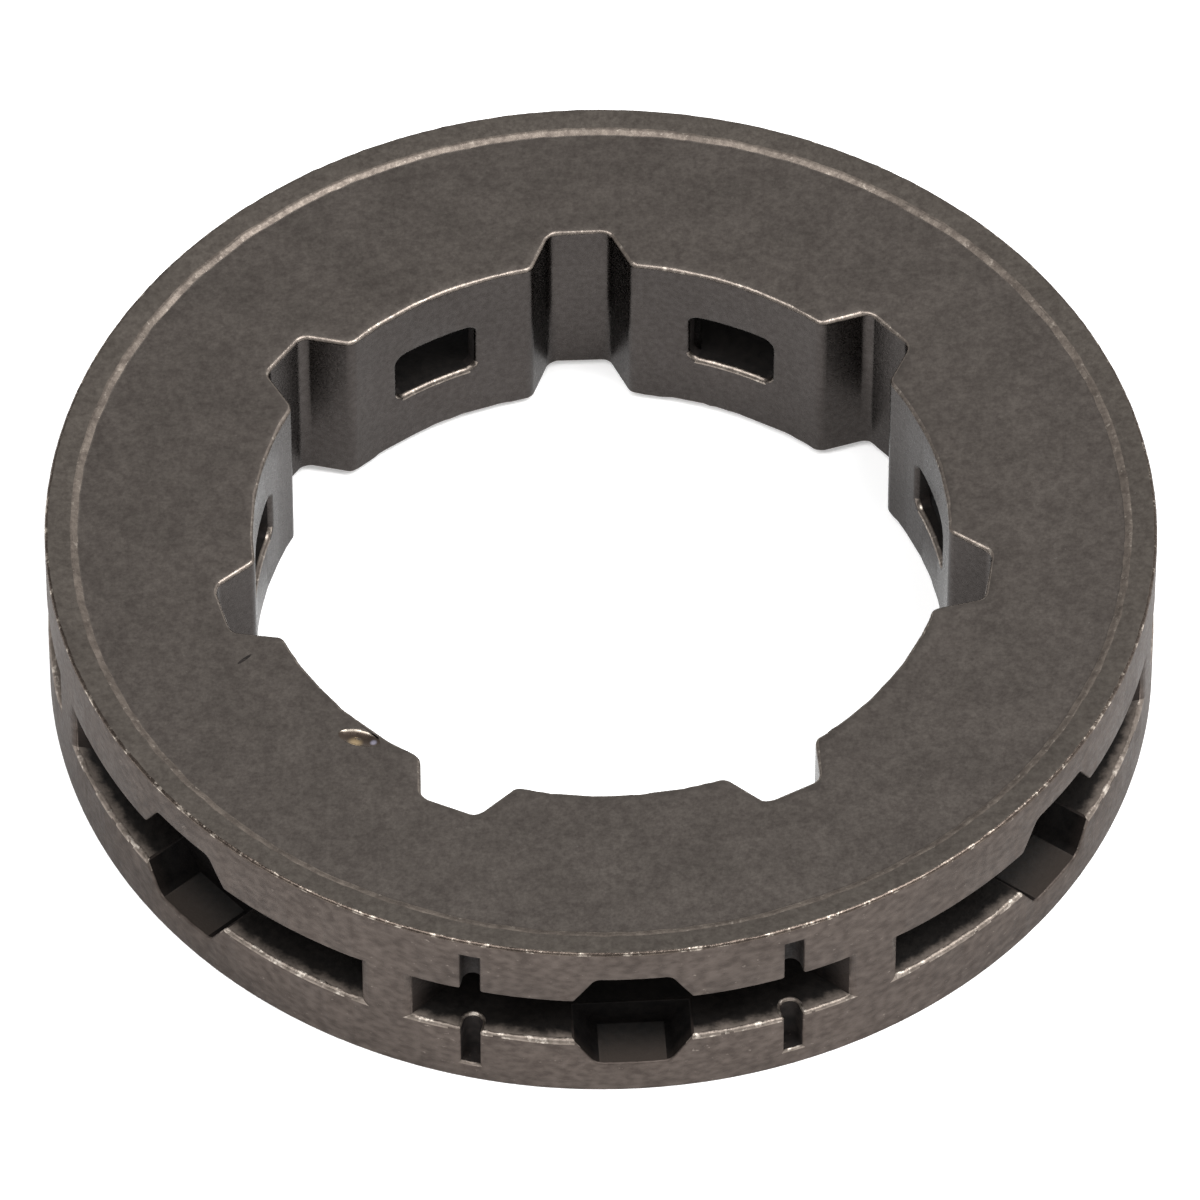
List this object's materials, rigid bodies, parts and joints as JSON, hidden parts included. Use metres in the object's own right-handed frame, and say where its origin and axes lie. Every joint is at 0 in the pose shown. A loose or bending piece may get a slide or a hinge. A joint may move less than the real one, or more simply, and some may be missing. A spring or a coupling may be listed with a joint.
{
  "type": "chainsaw rim sprocket",
  "caption": "Flat steel ring with a splined bore, rim slots that take a saw chain's drive links, chip pockets and wear notches.",
  "frame": {"origin": "on the ring's axis, in the plane of the lower lip that the ring lies on", "axes": "+Z along the axis, up through the bore; the slot with the wear notches faces -Y and a spline groove faces +Y"},
  "size_m": [0.0304, 0.0304, 0.0058],
  "materials": {
    "sintered_steel": "dark grey-brown sintered steel, heat treated and tumbled, matt with a fine grain and bright worn edges"
  },
  "bodies": {
    "root": {"rim_sprocket": "sintered_steel"}
  },
  "joints": []
}
